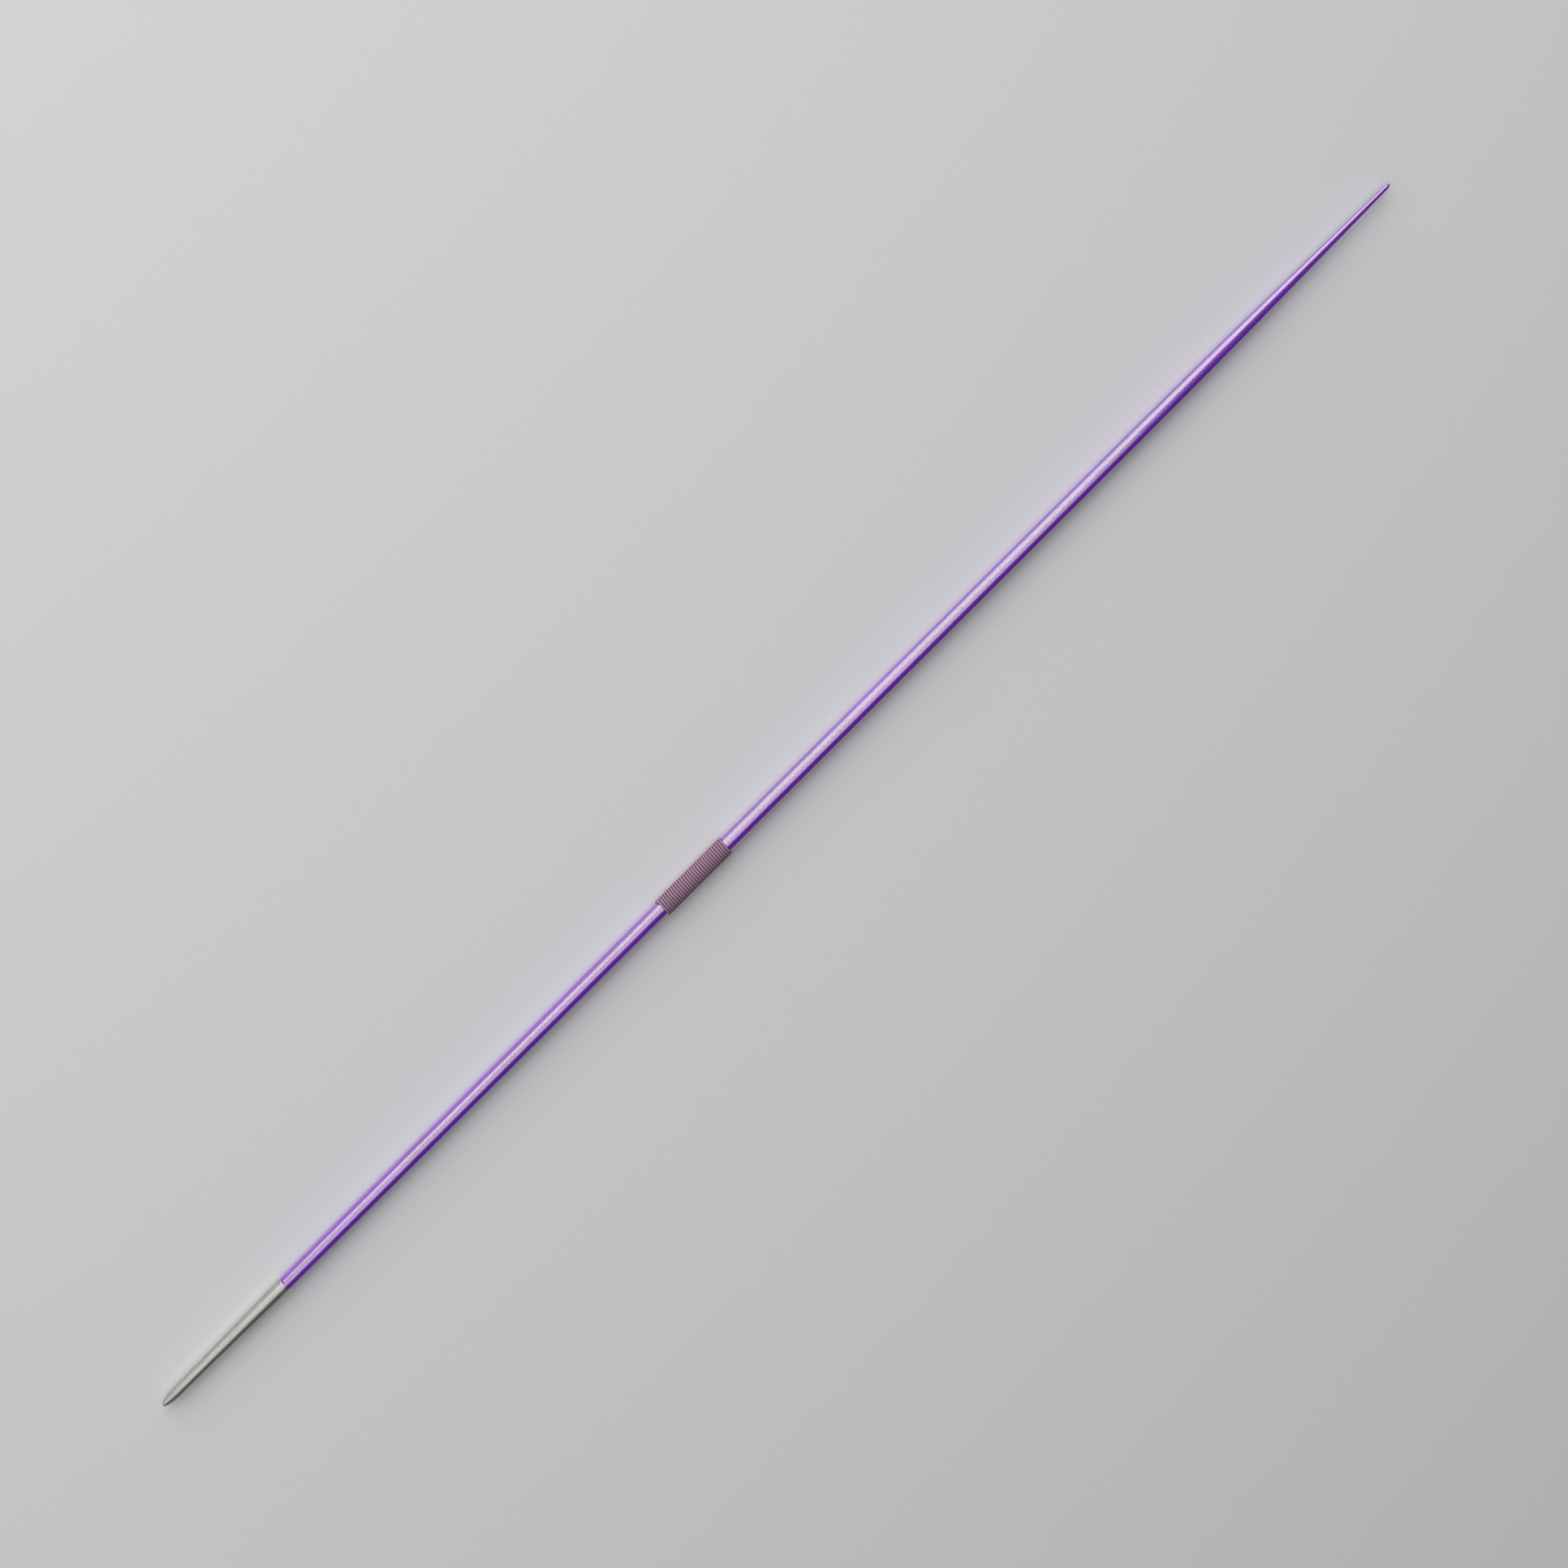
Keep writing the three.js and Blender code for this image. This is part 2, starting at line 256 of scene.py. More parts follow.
# Violet lacquer sprayed on aluminium tube, with aluminium flakes in it and clear coat over it: deep
# violet where it turns from the light, silvery lilac where its flakes face it, a thin mirror on top.
lacquerFinish = {
    "violet": "#7a02c9",
    "violetLit": "#8403db",
    "violetMetallic": 0.0,
    "violetRoughness": 0.55,
    "flake": "#fdfeb0",          # pale yellow, which the violet round it turns to silver
    "flakeShare": (0.17, 0.33),
    "flakeSize": 0.35 * mm,      # real flakes are near 0.05 mm, drawn coarser so that they show
    "flakeRoughness": 0.2,
    "lieSize": 2.6 * mm,         # patches in which the flakes lie askew together
    "lieDepth": 0.05 * mm,
    "lieShare": 0.12,
    "coatRoughness": 0.06,
    "peelSize": 2.5 * mm,        # the slight waves that sprayed lacquer dries with
    "peelDepth": 0.01 * mm,
    "cloudSize": (60 * mm, 20 * mm),
}


# Share of flakes = sparkle (one value for each flake) + drift (by patches). The violet wanders
# between its two tones in clouds.
def violetFlakeLacquer():
    finish = lacquerFinish
    material, tree = emptyMaterial("violetFlakeLacquer")
    place = addNode(tree, "TexCoord").outputs["Object"]
    flakeCells = addNode(tree, "TexVoronoi", {"Vector": place, "Scale": 1 / finish["flakeSize"]})
    sparkle = addNode(tree, "SeparateColor", {0: flakeCells.outputs["Color"]}).outputs["Red"]
    cloudPlace = addNode(tree, "Mapping", {"Vector": place, "Scale": grainScale(*finish["cloudSize"])})
    clouds = addNode(tree, "TexNoise", {"Vector": cloudPlace, "Scale": 1, "Detail": 2})
    peel = addNode(tree, "TexNoise", {"Vector": place, "Scale": 1 / finish["peelSize"], "Detail": 3})
    lie = addNode(tree, "TexNoise", {"Vector": place, "Scale": 1 / finish["lieSize"], "Detail": 2})
    coat = {
        "Coat Weight": 1.0,
        "Coat Roughness": finish["coatRoughness"],
        "Coat Normal": addNode(tree, "Bump", {"Height": peel, "Distance": finish["peelDepth"]}),
    }
    violet = addNode(tree, "BsdfPrincipled", {
        "Base Color": addNode(tree, "ValToRGB", {0: clouds}, stops=(
            (noiseLow, finish["violet"]), (noiseHigh, finish["violetLit"]),
        )),
        "Metallic": finish["violetMetallic"],
        "Roughness": finish["violetRoughness"],
        **coat,
    })
    flakes = addNode(tree, "BsdfPrincipled", {
        "Base Color": toLinear(finish["flake"]),
        "Metallic": 1.0,
        "Roughness": finish["flakeRoughness"],
        "Normal": addNode(tree, "Bump", {"Height": lie, "Distance": finish["lieDepth"]}),
        **coat,
    })
    low, high = finish["flakeShare"]
    even = addNode(tree, "MapRange", {"Value": sparkle, "To Min": low, "To Max": high})
    drift = addNode(tree, "MapRange", {
        "Value": lie, "From Min": noiseLow, "From Max": noiseHigh,
        "To Min": -finish["lieShare"] / 2, "To Max": finish["lieShare"] / 2,
    })
    share = addNode(tree, "Math", {0: even, 1: drift}, operation="ADD")
    mixed = addNode(tree, "MixShader", {0: share, 1: violet, 2: flakes})
    addNode(tree, "OutputMaterial", {"Surface": mixed})
    return material


# Plaited polyester whipcord, dyed mauve: matte, with a faint halo of fibre and a fine diamond plait,
# with painted shade between its yarns and, almost maroon, down in its grooves.
cordFinish = {
    "crest": "#c09eb9",
    # painted shade: the colour between two yarns
    "yarnGapShade": "#97738e",
    # painted shade: the colour down in the grooves between turns
    "grooveShade": "#2c1428",
    "grooveShadeEdges": (0.36, 0.96),    # painted shade, from dark to unshaded: the sine of the angle up from the side
    "roughness": 0.85,
    "specular": 0.12,
    "sheen": 0.06,
    "sheenRoughness": 0.5,
    "yarnsEachWay": 8,
    "lay": 13 * mm,              # length in which a yarn goes once round the cord
    "yarnDepth": 0.16 * mm,
    "fibreSize": 0.18 * mm,
    "fibreShare": 0.5,
    "yarnSpread": (0.3, 1.3),    # of the plait's height and the fibres' share together
    "yarnLow": 0.6,              # the painted shade's tone between two yarns, where their crests have 1
}


# The plait's height: yarns run round the cord both ways, phase = yarns (v + u / lay) or
# yarns (v - u / lay), where u is the length along the cord and v goes from 0 to 1 round it.
# A yarn's height is |sin(pi phase)|. One yarn is on top where the two phases' whole parts add up
# to an even number, and the other where they add up to an odd one. The cord's crest is at v = 1/4,
# so sin(2 pi v) is 1 there and 0 where two turns touch.
def mauveWhipcord():
    finish = cordFinish
    material, tree = emptyMaterial("mauveWhipcord")
    wrap = addNode(tree, "SeparateXYZ", {0: addNode(tree, "UVMap", uv_map="cordWrap")})
    laid = addNode(tree, "Math", {0: wrap.outputs["X"], 1: finish["lay"]}, operation="DIVIDE")
    heights, cells = [], []
    for way in (1, -1):
        turned = addNode(tree, "Math", {
            0: laid, 1: way, 2: wrap.outputs["Y"],
        }, operation="MULTIPLY_ADD")
        phase = addNode(tree, "Math", {0: turned, 1: finish["yarnsEachWay"]}, operation="MULTIPLY")
        angle = addNode(tree, "Math", {0: phase, 1: math.pi}, operation="MULTIPLY")
        wave = addNode(tree, "Math", {0: angle}, operation="SINE")
        heights.append(addNode(tree, "Math", {0: wave}, operation="ABSOLUTE"))
        cells.append(addNode(tree, "Math", {0: phase}, operation="FLOOR"))
    cell = addNode(tree, "Math", {0: cells[0], 1: cells[1]}, operation="ADD")
    onTop = addNode(tree, "Math", {0: cell, 1: 2}, operation="FLOORED_MODULO")
    plait = addNode(tree, "Mix", {
        "Factor": onTop, "A": heights[0], "B": heights[1],
    }, data_type="FLOAT")
    place = addNode(tree, "TexCoord").outputs["Object"]
    fibre = addNode(tree, "TexNoise", {"Vector": place, "Scale": 1 / finish["fibreSize"], "Detail": 2})
    soft = addNode(tree, "Math", {
        0: fibre, 1: finish["fibreShare"], 2: plait,
    }, operation="MULTIPLY_ADD")
    sunk, raised = finish["yarnSpread"]
    # Painted shade: the tone falls from the yarns' crests to yarnLow between them
    yarn = addNode(tree, "MapRange", {
        "Value": soft, "From Min": sunk, "From Max": raised, "To Min": finish["yarnLow"],
    })
    # Painted shade: the tone darkens from the crest down the cord's sides into the grooves between
    # turns
    around = addNode(tree, "Math", {0: wrap.outputs["Y"], 1: 2 * math.pi}, operation="MULTIPLY")
    rise = addNode(tree, "Math", {0: around}, operation="SINE")
    dark, unshaded = finish["grooveShadeEdges"]
    clear = addNode(tree, "MapRange", {"Value": rise, "From Min": dark, "From Max": unshaded})
    tone = addNode(tree, "Math", {0: yarn, 1: clear}, operation="MULTIPLY")
    cord = addNode(tree, "BsdfPrincipled", {
        "Base Color": addNode(tree, "ValToRGB", {0: tone}, stops=(
            (0, finish["grooveShade"]), (finish["yarnLow"], finish["yarnGapShade"]), (1, finish["crest"]),
        )),
        "Roughness": finish["roughness"],
        "Specular IOR Level": finish["specular"],
        "Sheen Weight": finish["sheen"],
        "Sheen Roughness": finish["sheenRoughness"],
        "Normal": addNode(tree, "Bump", {"Height": soft, "Distance": finish["yarnDepth"]}),
    })
    addNode(tree, "OutputMaterial", {"Surface": cord})
    return material


# The finishes of what is inside, and of the tape under the cord. Turned brass has bright rings,
# drawn aluminium bright lines along it, cloth tape and open-cell foam a matte grain.
innerFinishes = {
    "turnedBrass": {
        "dark": "#a9853f", "pale": "#c9a55c", "metallic": 1.0, "roughness": (0.3, 0.42),
        "grain": (0.6 * mm, 40 * mm), "depth": 0.01 * mm,
    },
    "drawnAluminium": {
        "dark": "#b9bbbe", "pale": "#d2d4d6", "metallic": 1.0, "roughness": (0.28, 0.4),
        "grain": (60 * mm, 0.7 * mm), "depth": 0.01 * mm,
    },
    "clothTape": {
        "dark": "#c6bfa9", "pale": "#ded8c6", "metallic": 0.0, "roughness": (0.75, 0.85),
        "grain": (0.5 * mm, 0.5 * mm), "depth": 0.05 * mm,
    },
    "openCellFoam": {
        "dark": "#2c2e32", "pale": "#5b5e63", "metallic": 0.0, "roughness": (0.9, 1.0),
        "grain": (0.8 * mm, 0.8 * mm), "depth": 0.4 * mm,
    },
}
grainDark, grainPale = 0.35, 0.65    # the noise at which the tone is fully dark or pale


# One noise sets the tone from dark to pale, the roughness from low to high, and the relief
def innerMaterial(name):
    finish = innerFinishes[name]
    material, tree = emptyMaterial(name)
    place = addNode(tree, "TexCoord").outputs["Object"]
    grainPlace = addNode(tree, "Mapping", {"Vector": place, "Scale": grainScale(*finish["grain"])})
    grain = addNode(tree, "TexNoise", {"Vector": grainPlace, "Scale": 1, "Detail": 4})
    low, high = finish["roughness"]
    surface = addNode(tree, "BsdfPrincipled", {
        "Base Color": addNode(tree, "ValToRGB", {0: grain}, stops=(
            (grainDark, finish["dark"]), (grainPale, finish["pale"]),
        )),
        "Metallic": finish["metallic"],
        "Roughness": addNode(tree, "MapRange", {
            "Value": grain, "From Min": noiseLow, "From Max": noiseHigh, "To Min": low, "To Max": high,
        }),
        "Normal": addNode(tree, "Bump", {"Height": grain, "Distance": finish["depth"]}),
    })
    addNode(tree, "OutputMaterial", {"Surface": surface})
    return material


steel = satinTurnedSteel()
lacquer = violetFlakeLacquer()
whipcord = mauveWhipcord()
print("materials made")


# The head

head = {
    "nibLength": 2 * mm,
    "nibRadius": 0.95 * mm,
    "pointRadius": outerRadius("head_point"),
    "rearRadius": outerRadius("head_shell"),
    "shankRadius": 4 * mm,
    "wall": 0.68 * mm,
    "socketDepth": 52 * mm,
    "seamGap": 0.04 * mm,        # the ground weld between point and cone
    "seamChamfer": 0.06 * mm,
    "rimLength": 1.8 * mm,       # the rounded rear edge, along and across
    "rimDepth": 0.45 * mm,
    "coneControls": ((0.365, 0.155), (0.696, 0.862)),   # shares of the cone's length and rise
    "nibPoints": 10,
    "nosePoints": 90,
    "conePoints": 160,
    "rimPoints": 12,
}
pointEnd, headEnd = stations("head_shell")
shankEnd = stations("head_point")[1]


# The point: a quarter-ellipse nib, a quarter-ellipse nose as long as the point, then its shank
def headPoint():
    nibEnd = (head["nibLength"], 0)
    nib = ellipseArc(nibEnd, head["nibLength"], head["nibRadius"], 180, 90, head["nibPoints"])
    nib[0] = (0, 0)
    centre = (pointEnd, head["nibRadius"])
    rise = head["pointRadius"] - head["nibRadius"]
    nose = ellipseArc(centre, pointEnd - head["nibLength"], rise, 180, 90, head["nosePoints"])
    seam = pointEnd - head["seamGap"] / 2
    firstStation, lastStation = head["nibLength"] + head["seamChamfer"], seam - head["seamChamfer"]
    nose = nose[(nose[:, 0] > firstStation) & (nose[:, 0] < lastStation)]
    return turnedPiece("headPoint", np.vstack([
        nib,
        nose,
        (seam - head["seamChamfer"], head["pointRadius"]),
        (seam, head["pointRadius"] - head["seamChamfer"]),
        (seam, head["shankRadius"]),
        (shankEnd, head["shankRadius"]),
        (shankEnd, 0),
    ]))


# The cone's outside: a cubic Bezier whose handles are shares of its length and rise
def coneOutline():
    run, rise = headEnd - pointEnd, head["rearRadius"] - head["pointRadius"]
    handles = [(pointEnd + run * a, head["pointRadius"] + rise * b) for a, b in head["coneControls"]]
    ends = (pointEnd, head["pointRadius"]), (headEnd, head["rearRadius"])
    return bezier(ends[0], *handles, ends[1], head["conePoints"])


# The cone with its bore: outside, rounded rear rim, socket, and a cavity one wall inside the cone
def headCone():
    cone = coneOutline()
    seam = pointEnd + head["seamGap"] / 2
    boreRadius = head["shankRadius"] + head["seamGap"]
    rimStart = headEnd - head["rimLength"]
    rimCentre = (rimStart, head["rearRadius"] - head["rimDepth"])
    socketRadius = head["rearRadius"] - head["wall"]
    socketStart = headEnd - head["socketDepth"]
    cavity = between(cone, shankEnd, socketStart)[::-1] - (0, head["wall"])
    return turnedPiece("headCone", np.vstack([
        (seam, boreRadius),
        (seam, head["pointRadius"] - head["seamChamfer"]),
        (seam + head["seamChamfer"], head["pointRadius"]),
        between(cone, seam + 2 * head["seamChamfer"], rimStart)[:-1],
        ellipseArc(rimCentre, head["rimLength"], head["rimDepth"], 90, 0, head["rimPoints"]),
        (headEnd, socketRadius),
        (socketStart, socketRadius),
        cavity,
        (shankEnd, boreRadius),
    ]))


dress(headPoint(), steel, "head_point")
dress(headCone(), steel, "head_shell")
print("head made")


# The shaft

shaft = {
    "radius": outerRadius("shaft_aft"),
    "frontRadius": 12.23 * mm,
    "foreTaper": 513 * mm,
    "foreControls": ((0.154, 0.62), (0.407, 0.976)),    # shares of the taper's length and rise
    "tailTaper": 1321 * mm,      # from the tail to where the straight middle ends
    "coneLength": 297 * mm,
    "coneRadius": 10.13 * mm,
    "endRadius": outerRadius("tail_cap"),
    "tailControls": (0.655, 0.02, 0.13),                # first along, first in, last along
    "wall": 1.15 * mm,
    "endWall": 1.95 * mm,
    "spigotRadius": 11.55 * mm,
    "spigotLead": 1.5 * mm,
    "swage": 6 * mm,
    "edgeRadius": 0.25 * mm,     # the lacquer rounds the tube's front edge
    "bondGap": 0.1 * mm,
    "forePoints": 60,
    "rearPoints": 90,
    "conePoints": 24,
    "edgePoints": 6,
    "domePoints": 40,
}
spigotStart, foreEnd = stations("shaft_fore")
aftStart, tailEnd = stations("shaft_aft")
shaftStart = headEnd + shaft["bondGap"]
capShankStart = stations("tail_cap")[0]


# The shaft's outside: a Bezier that fades into the straight middle, a long Bezier that bends in,
# and a straight cone to the tail
def shaftOutline():
    rise = shaft["radius"] - shaft["frontRadius"]
    foreHandles = [
        (shaftStart + shaft["foreTaper"] * along, shaft["frontRadius"] + rise * out)
        for along, out in shaft["foreControls"]
    ]
    foreStop = (shaftStart + shaft["foreTaper"], shaft["radius"])
    front = bezier((shaftStart, shaft["frontRadius"]), *foreHandles, foreStop, shaft["forePoints"])
    firstAlong, firstIn, lastAlong = shaft["tailControls"]
    coneStart = tailEnd - shaft["coneLength"]
    slope = (shaft["coneRadius"] - shaft["endRadius"]) / shaft["coneLength"]
    curveStart = javelinLength - shaft["tailTaper"]
    run = coneStart - curveStart
    fall = shaft["radius"] - shaft["coneRadius"]
    rearHandles = [
        (curveStart + run * firstAlong, shaft["radius"] - fall * firstIn),
        (coneStart - run * lastAlong, shaft["coneRadius"] + slope * run * lastAlong),
    ]
    rearStop, coneStop = (coneStart, shaft["coneRadius"]), (tailEnd, shaft["endRadius"])
    rear = bezier((curveStart, shaft["radius"]), *rearHandles, rearStop, shaft["rearPoints"])
    cone = np.linspace(rearStop, coneStop, shaft["conePoints"])[1:]
    return np.vstack([front, rear, cone])


# The bore: the outside less a wall that thickens in step with what swaging takes off the radius
def boreOutline(outside):
    share = (shaft["radius"] - outside[:, 1]) / (shaft["radius"] - shaft["endRadius"])
    wall = shaft["wall"] + (shaft["endWall"] - shaft["wall"]) * share
    return np.column_stack([outside[:, 0], outside[:, 1] - wall])


outline = shaftOutline()
bore = boreOutline(outline)


# The front tube: spigot, rounded lacquered edge, outside, then back through the bore
def shaftFore():
    boreRadius = shaft["spigotRadius"] - shaft["wall"]
    edge = shaft["edgeRadius"]
    edgeCentre = (shaftStart + edge, shaft["frontRadius"] - edge)
    return turnedPiece("shaftFore", np.vstack([
        (spigotStart, boreRadius),
        (spigotStart, shaft["spigotRadius"] - shaft["spigotLead"] / 2),
        (spigotStart + shaft["spigotLead"], shaft["spigotRadius"]),
        (shaftStart, shaft["spigotRadius"]),
        ellipseArc(edgeCentre, edge, edge, 180, 90, shaft["edgePoints"]),
        between(outline, shaftStart + edge, foreEnd)[1:],
        between(bore, shaftStart + shaft["swage"], foreEnd)[::-1],
        (shaftStart, boreRadius),
    ]))


# The rear tube: the outside as far as the tail, then back through the bore
def shaftAft():
    outside = between(outline, aftStart, tailEnd)
    inside = between(bore, aftStart, tailEnd)[::-1]
    return turnedPiece("shaftAft", np.vstack([outside, inside]))


# The tail cap: a shank that follows the bore and a quarter-ellipse dome
def tailCap():
    start = tailEnd + shaft["bondGap"] / 2
    shank = between(bore, capShankStart, tailEnd) - (0, shaft["bondGap"])
    domeLength = javelinLength - start
    dome = ellipseArc((start, 0), domeLength, shaft["endRadius"], 90, 0, shaft["domePoints"])
    dome[-1] = (javelinLength, 0)
    return turnedPiece("tailCap", np.vstack([(capShankStart, 0), shank, (start, shank[-1, 1]), dome]))


dress(shaftFore(), lacquer, "shaft_fore")
dress(shaftAft(), lacquer, "shaft_aft")
dress(tailCap(), lacquer, "tail_cap")
print("shaft made")


# The grip

grip = {
    "turns": 31,
    "stepsPerTurn": 196,
    "sides": 14,
    "touchGap": 0.02 * mm,       # over the tape
    "turnGap": 0.12 * mm,        # between one turn and the next
    "squareness": 2.0,           # 2 is an ellipse, more is boxier
    "wobble": 0.035 * mm,
    "tuckTurns": 0.16,           # how far each end runs on, under the turn beside it
    "tuckHeightShare": 0.4,
    "tuckWidthShare": 0.88,
    "liftFadeShare": 0.4,        # of a tuck, past its end, over which the turn comes down again
    "tapeThickness": 0.25 * mm,
    "wanderRates": (0.37, 0.91, 1.73, 3.1, 5.7),        # waves in a turn
    "swellRates": (0.53, 1.31, 2.9, 7.3),
    "waveHeights": (0.3, 1),
    "seed": 7,
}
gripStart, gripEnd = stations("grip_cord")
gripRadius = outerRadius("grip_cord")
tapeRadius = outerRadius("grip_tape")


# A slow seeded wander between about -1 and 1: a mean of sines of t turns
def wander(rng, t, rates):
    waves = [
        rng.uniform(*grip["waveHeights"]) * np.sin(2 * np.pi * (rate * t + rng.uniform()))
        for rate in rates
    ]
    return np.mean(waves, axis=0)


# How far a turn is lifted over the end tucked under it, u turns on from where that end starts:
# a soft step up over the tuck, times a soft step down past its end
def liftOver(u):
    tuck = grip["tuckTurns"]
    return smoothStep(u / tuck) * (1 - smoothStep((u - tuck) / (grip["liftFadeShare"] * tuck)))


# The cord's centre line and its section. With t in turns from the +Y side and down under the shaft,
# station = first + pitch t and angle = 90 + 360 t degrees, and each end slides sideways and down
# under its neighbour, which lifts over it. Past the tape's ends the cord settles on the shaft and is
# that much higher. The section is a superellipse, |x / width|^n + |y / height|^n = 1.
def gripCord():
    rng = np.random.default_rng(grip["seed"])
    turns, tuck = grip["turns"], grip["tuckTurns"]
    pitch = (gripEnd - gripStart) / (turns + 1)
    t = np.linspace(-tuck, turns + tuck, int(grip["stepsPerTurn"] * (turns + 2 * tuck)))

    tuckedFront, tuckedBack = smoothStep(-t / tuck), smoothStep((t - turns) / tuck)
    tucked = tuckedFront + tuckedBack
    wandering = wander(rng, t, grip["wanderRates"])
    swelling = wander(rng, t, grip["swellRates"])
    axial = gripStart + pitch / 2 + pitch * t
    tapeFirst, tapeLast = stations("grip_tape")
    fromFirst, fromLast = (axial - tapeFirst) / pitch, (tapeLast - axial) / pitch
    onTape = smoothStep(fromFirst + 1 / 2) * smoothStep(fromLast + 1 / 2)
    inner = shaft["radius"] + grip["touchGap"] + (tapeRadius - shaft["radius"]) * onTape
    height = gripRadius - inner
    stepHeight = height * (1 - (1 - grip["tuckHeightShare"]) * tucked) + grip["wobble"] * (swelling - 1)
    stepWidth = (pitch - grip["turnGap"]) * (1 - (1 - grip["tuckWidthShare"]) * tucked)
    lift = height * grip["tuckHeightShare"] * (liftOver(1 - t) + liftOver(t - turns + 1))
    radius = inner + stepHeight / 2 + lift
    station = axial + pitch * (tuckedFront - tuckedBack) + grip["wobble"] * wandering
    angle = np.pi / 2 + 2 * np.pi * t
    centre = np.column_stack([tipX + station, radius * np.sin(angle), axisZ + radius * np.cos(angle)])

    # Both ends are rounded off over half the cord's height: (1 - (1 - d / r)^2) to the power 1/2
    fromEnd = np.minimum(t - t[0], t[-1] - t) * 2 * np.pi * inner
    rounded = np.sqrt(1 - (1 - np.clip(fromEnd / (height / 2), 0, 1)) ** 2)

    forward = np.gradient(centre, axis=0)
    outward = np.column_stack([np.zeros_like(t), np.sin(angle), np.cos(angle)])
    sideways = np.cross(forward, outward)
    sideways /= np.linalg.norm(sideways, axis=1, keepdims=True)
    sides = grip["sides"]
    a = np.linspace(0, 2 * np.pi, sides, endpoint=False)
    across = np.sign(np.cos(a)) * np.abs(np.cos(a)) ** (2 / grip["squareness"])
    up = np.sign(np.sin(a)) * np.abs(np.sin(a)) ** (2 / grip["squareness"])
    wide = (stepWidth * rounded / 2)[:, None] * across
    high = (stepHeight * rounded / 2)[:, None] * up
    rings = centre[:, None] + sideways[:, None] * wide[..., None] + outward[:, None] * high[..., None]
    rings[..., 2] = np.maximum(rings[..., 2], 0)        # pressed flat on the floor
    rings = rings[1:-1]

    grid = np.arange(len(rings) * sides).reshape(-1, sides)
    here, after = grid[:-1], grid[1:]
    quads = np.stack([here, after, np.roll(after, -1, 1), np.roll(here, -1, 1)], axis=-1).reshape(-1, 4)
    first = len(rings) * sides
    faces = quads.tolist() + fan(grid[0], first, False) + fan(grid[-1], first + 1, True)
    piece = meshPiece("gripCord", np.vstack([rings.reshape(-1, 3), centre[[0, -1]]]), faces)

    # The cord's own map: u is the length along it in metres, and v goes from 0 to 1 round it
    steps = np.linalg.norm(np.diff(centre, axis=0), axis=1)
    length = np.cumsum(steps)[:-1]
    corners = np.stack([length[:-1], length[1:], length[1:], length[:-1]], axis=-1)
    u = np.repeat(corners[:, None], sides, axis=1)
    v = np.arange(sides)[:, None] / sides + np.array([0, 0, 1, 1]) / sides
    quadWrap = np.stack([u, np.broadcast_to(v, u.shape)], axis=-1).reshape(-1, 2)
    endWrap = np.repeat([[0, 0], [length[-1], 0]], sides * 3, axis=0)
    layer = piece.data.uv_layers.new(name="cordWrap")
    layer.data.foreach_set("uv", np.vstack([quadWrap, endWrap]).astype(np.float32).ravel())
    return piece


# The tape under the cord, a thin sleeve whose ends the first and the last turn hide
def gripTape():
    first, last = stations("grip_tape")
    inner = tapeRadius - grip["tapeThickness"]
    return turnedPiece("gripTape", [
        (first, inner),
        (first, tapeRadius),
        (last, tapeRadius),
        (last, inner),
    ])


dress(gripCord(), whipcord, "grip_cord")
dress(gripTape(), innerMaterial("clothTape"), "grip_tape")
print("grip made")


# What the head and the shaft hold inside

damper = {
    "cornerShare": 0.12,         # of its length
    "waistShare": 0.015,         # of its radius, drawn in between its ends
    "fill": 0.95,
    "sidePoints": 20,
    "cornerPoints": 8,
}


# A foam plug: round corners, and a side drawn in by waist times sin(pi s / length)
def foamDamper(node):
    first, last = stations(node)
    radius = outerRadius(node)
    corner = (last - first) * damper["cornerShare"]
    s = np.linspace(first + corner, last - corner, damper["sidePoints"])[1:-1]
    waist = radius * damper["waistShare"] * np.sin(np.pi * (s - first) / (last - first))
    return turnedPiece(node.replace("damper", "foamDamper"), np.vstack([
        (first, 0),
        ellipseArc((first + corner, radius - corner), corner, corner, 180, 90, damper["cornerPoints"]),
        np.column_stack([s, radius - waist]),
        ellipseArc((last - corner, radius - corner), corner, corner, 90, 0, damper["cornerPoints"]),
        (last, 0),
    ]))


slug = {
    "taper": 1 * mm,             # its front edge, across and along
    "edge": 0.3 * mm,
}
sleeve = {
    "wall": 1.6 * mm,
    "chamfer": 0.5 * mm,
}


# The balance slug: a disc with a tapered front edge and a small chamfer behind
def balanceSlug():
    first, last = stations("balance_slug")
    radius = outerRadius("balance_slug")
    return turnedPiece("balanceSlug", [
        (first, 0),
        (first, radius - slug["taper"]),
        (first + slug["taper"], radius),
        (last - slug["edge"], radius),
        (last, radius - slug["edge"]),
        (last, 0),
    ])


# The sleeve that joins the two tubes: a plain tube with chamfered outer edges, to slide in easily
def centreSleeve():
    first, last = stations("centre_sleeve")
    outer = outerRadius("centre_sleeve")
    inner, chamfer = outer - sleeve["wall"], sleeve["chamfer"]
    return turnedPiece("centreSleeve", [
        (first, inner),
        (first, outer - chamfer),
        (first + chamfer, outer),
        (last - chamfer, outer),
        (last, outer - chamfer),
        (last, inner),
    ])


dress(balanceSlug(), innerMaterial("turnedBrass"), "balance_slug")
dress(centreSleeve(), innerMaterial("drawnAluminium"), "centre_sleeve")
foam = innerMaterial("openCellFoam")
for node in sorted(frame["nodes"]):
    if node.startswith("damper"):
        dress(foamDamper(node), foam, node)
print("inside made")


# Floor, light and camera

studio = {
    "floorColour": "#e4e4e6",
    "floorRoughness": 0.9,
    "floorSpecular": 0.2,
    "floorHalf": 45.0,
    "floorDrop": 0.05 * mm,
    "worldColour": "#d6dae6",
    "worldStrength": 0.05,
    "boxDistance": 8.0,
}
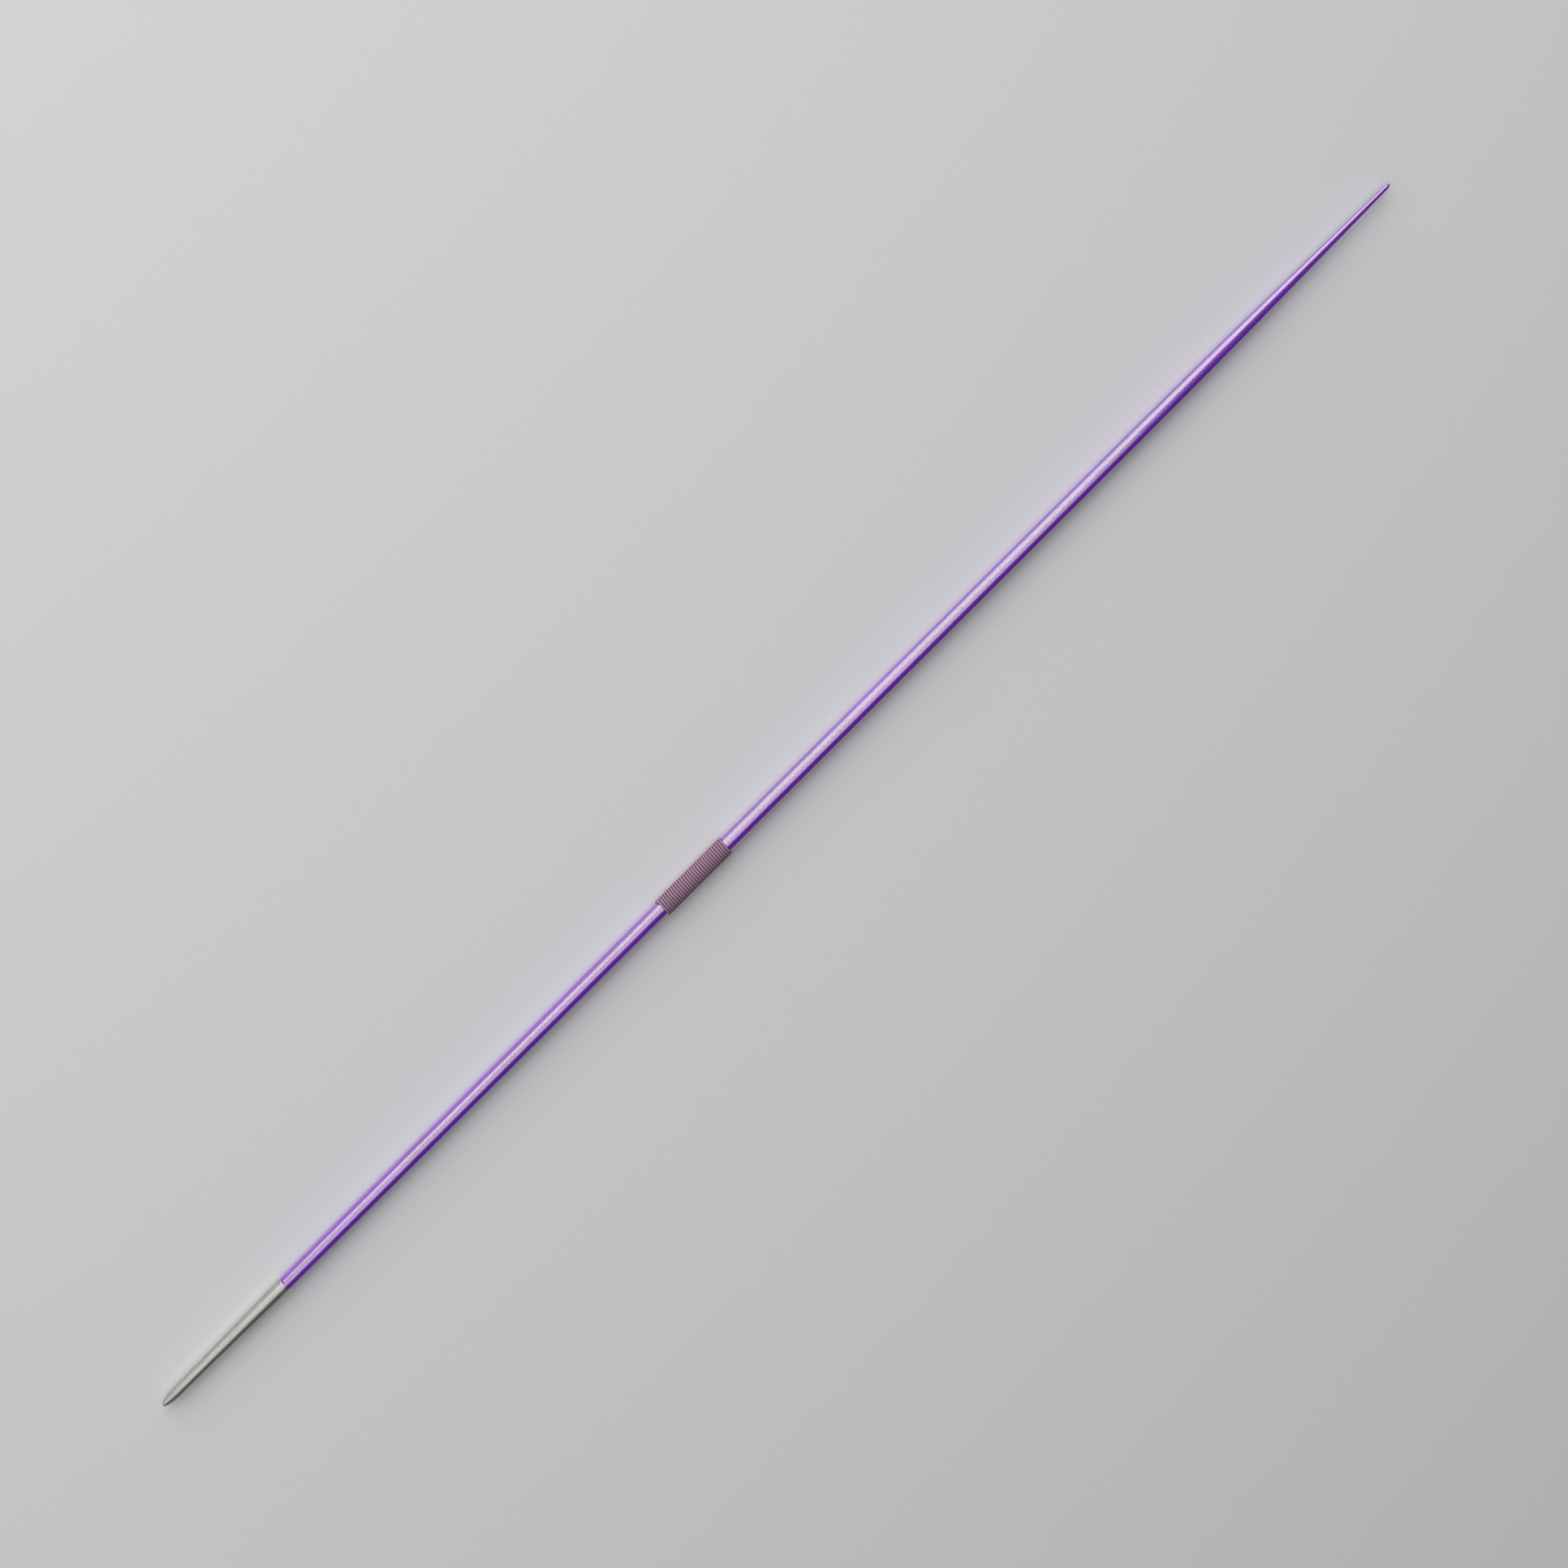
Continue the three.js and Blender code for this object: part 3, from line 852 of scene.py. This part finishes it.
# Each softbox's lower and upper edge, in degrees from the horizon on the +Y side over the top, and
# where it starts and ends along the javelin. Seen from above, the side one shines in the lacquer
# from the grip to the tail, and the front one, more narrowly, from the head to the grip. The nose
# one lights the rounded point, and the top one gives the lower half of each highlight.
softboxes = {
    "sideSoftbox": {"edges": (0, 63), "span": (-1.0, 12.0), "radiance": 1.94},
    "frontSoftbox": {"edges": (16, 60), "span": (-3.95, -1.0), "radiance": 1.94},
    "noseSoftbox": {"edges": (15, 95), "span": (-24.0, -7.0), "radiance": 1.1},
    "topSoftbox": {"edges": (63, 106), "span": (-5.8, 2.7), "radiance": 1.22},
}


# A softbox: a rectangle square to the line from the grip, as wide as its two edges ask.
# A lamp's power is its radiance times pi times its area.
def softbox(name):
    low, high = softboxes[name]["edges"]
    first, last = softboxes[name]["span"]
    middle = math.radians((low + high) / 2)
    distance, length = studio["boxDistance"], last - first
    width = 2 * distance * math.tan(math.radians((high - low) / 2))
    lamp = bpy.data.lights.new(name, "AREA")
    lamp.shape = "RECTANGLE"
    lamp.size, lamp.size_y = length, width
    lamp.energy = softboxes[name]["radiance"] * math.pi * length * width
    box = bpy.data.objects.new(name, lamp)
    bpy.context.scene.collection.objects.link(box)
    box.location = ((first + last) / 2, distance * math.cos(middle), distance * math.sin(middle))
    box.rotation_euler = (middle - math.pi / 2, 0, 0)
    box.visible_camera = False


# The floor: one square, floorHalf each way and floorDrop below what lies on it, painted pale
def floor():
    corners = np.array([(-1, -1, 0), (1, -1, 0), (1, 1, 0), (-1, 1, 0)]) * studio["floorHalf"]
    corners[:, 2] = -studio["floorDrop"]
    piece = meshPiece("studioFloor", corners, [[0, 1, 2, 3]])
    material, tree = emptyMaterial("paleMatteFloor")
    paint = addNode(tree, "BsdfPrincipled", {
        "Base Color": toLinear(studio["floorColour"]),
        "Roughness": studio["floorRoughness"],
        "Specular IOR Level": studio["floorSpecular"],
    })
    addNode(tree, "OutputMaterial", {"Surface": paint})
    piece.data.materials.append(material)


# A dim and even sky: one colour times one strength
def world():
    sky = bpy.data.worlds.new("studioWorld")
    bpy.context.scene.world = sky
    sky.use_nodes = True
    background = sky.node_tree.nodes["Background"]
    background.inputs["Color"].default_value = toLinear(studio["worldColour"])
    background.inputs["Strength"].default_value = studio["worldStrength"]


# Where the photograph shows the javelin's two ends, in its own pixels, and how the camera leans
photo = {
    "size": 1932,
    "tip": (200.1, 1732.6),
    "tail": (1712.0, 226.8),
    "lens": 50,
    "sensor": 36,
    "lean": 15,                  # degrees from straight above, towards the +Y side
    "clip": 200,
}


# The camera looks square to the axis. With the javelin's direction x, the direction s up its lit
# side and the axis's angle r in the photograph, right = x cos r - s sin r and up = x sin r + s cos r.
# Its place puts both ends of the javelin on their pixels.
def photoCamera():
    tip, tail = np.array(photo["tip"]), np.array(photo["tail"])
    across, down = tail - tip
    perPixel = javelinLength / math.hypot(across, down)
    roll, lean = math.atan2(-down, across), math.radians(photo["lean"])
    back = np.array([0, math.sin(lean), math.cos(lean)])
    lit = np.array([0, math.cos(lean), -math.sin(lean)])
    along = np.array([1, 0, 0])
    right = along * math.cos(roll) - lit * math.sin(roll)
    up = along * math.sin(roll) + lit * math.cos(roll)
    toRight, toBottom = (photo["size"] / 2 - (tip + tail) / 2) * perPixel
    middle = np.array([(tipX + tailX) / 2, 0, axisZ])
    distance = photo["size"] * perPixel * photo["lens"] / photo["sensor"]
    place = middle + right * toRight - up * toBottom + back * distance
    lens = bpy.data.cameras.new("photoCamera")
    lens.lens, lens.sensor_width, lens.clip_end = photo["lens"], photo["sensor"], photo["clip"]
    camera = bpy.data.objects.new("photoCamera", lens)
    bpy.context.scene.collection.objects.link(camera)
    turned = mathutils.Matrix(np.column_stack([right, up, back]).tolist())
    camera.matrix_world = mathutils.Matrix.LocRotScale(mathutils.Vector(place), turned, None)
    bpy.context.scene.camera = camera


floor()
for name in softboxes:
    softbox(name)
world()
photoCamera()
bpy.context.scene.view_settings.view_transform = "Standard"
print("studio made")
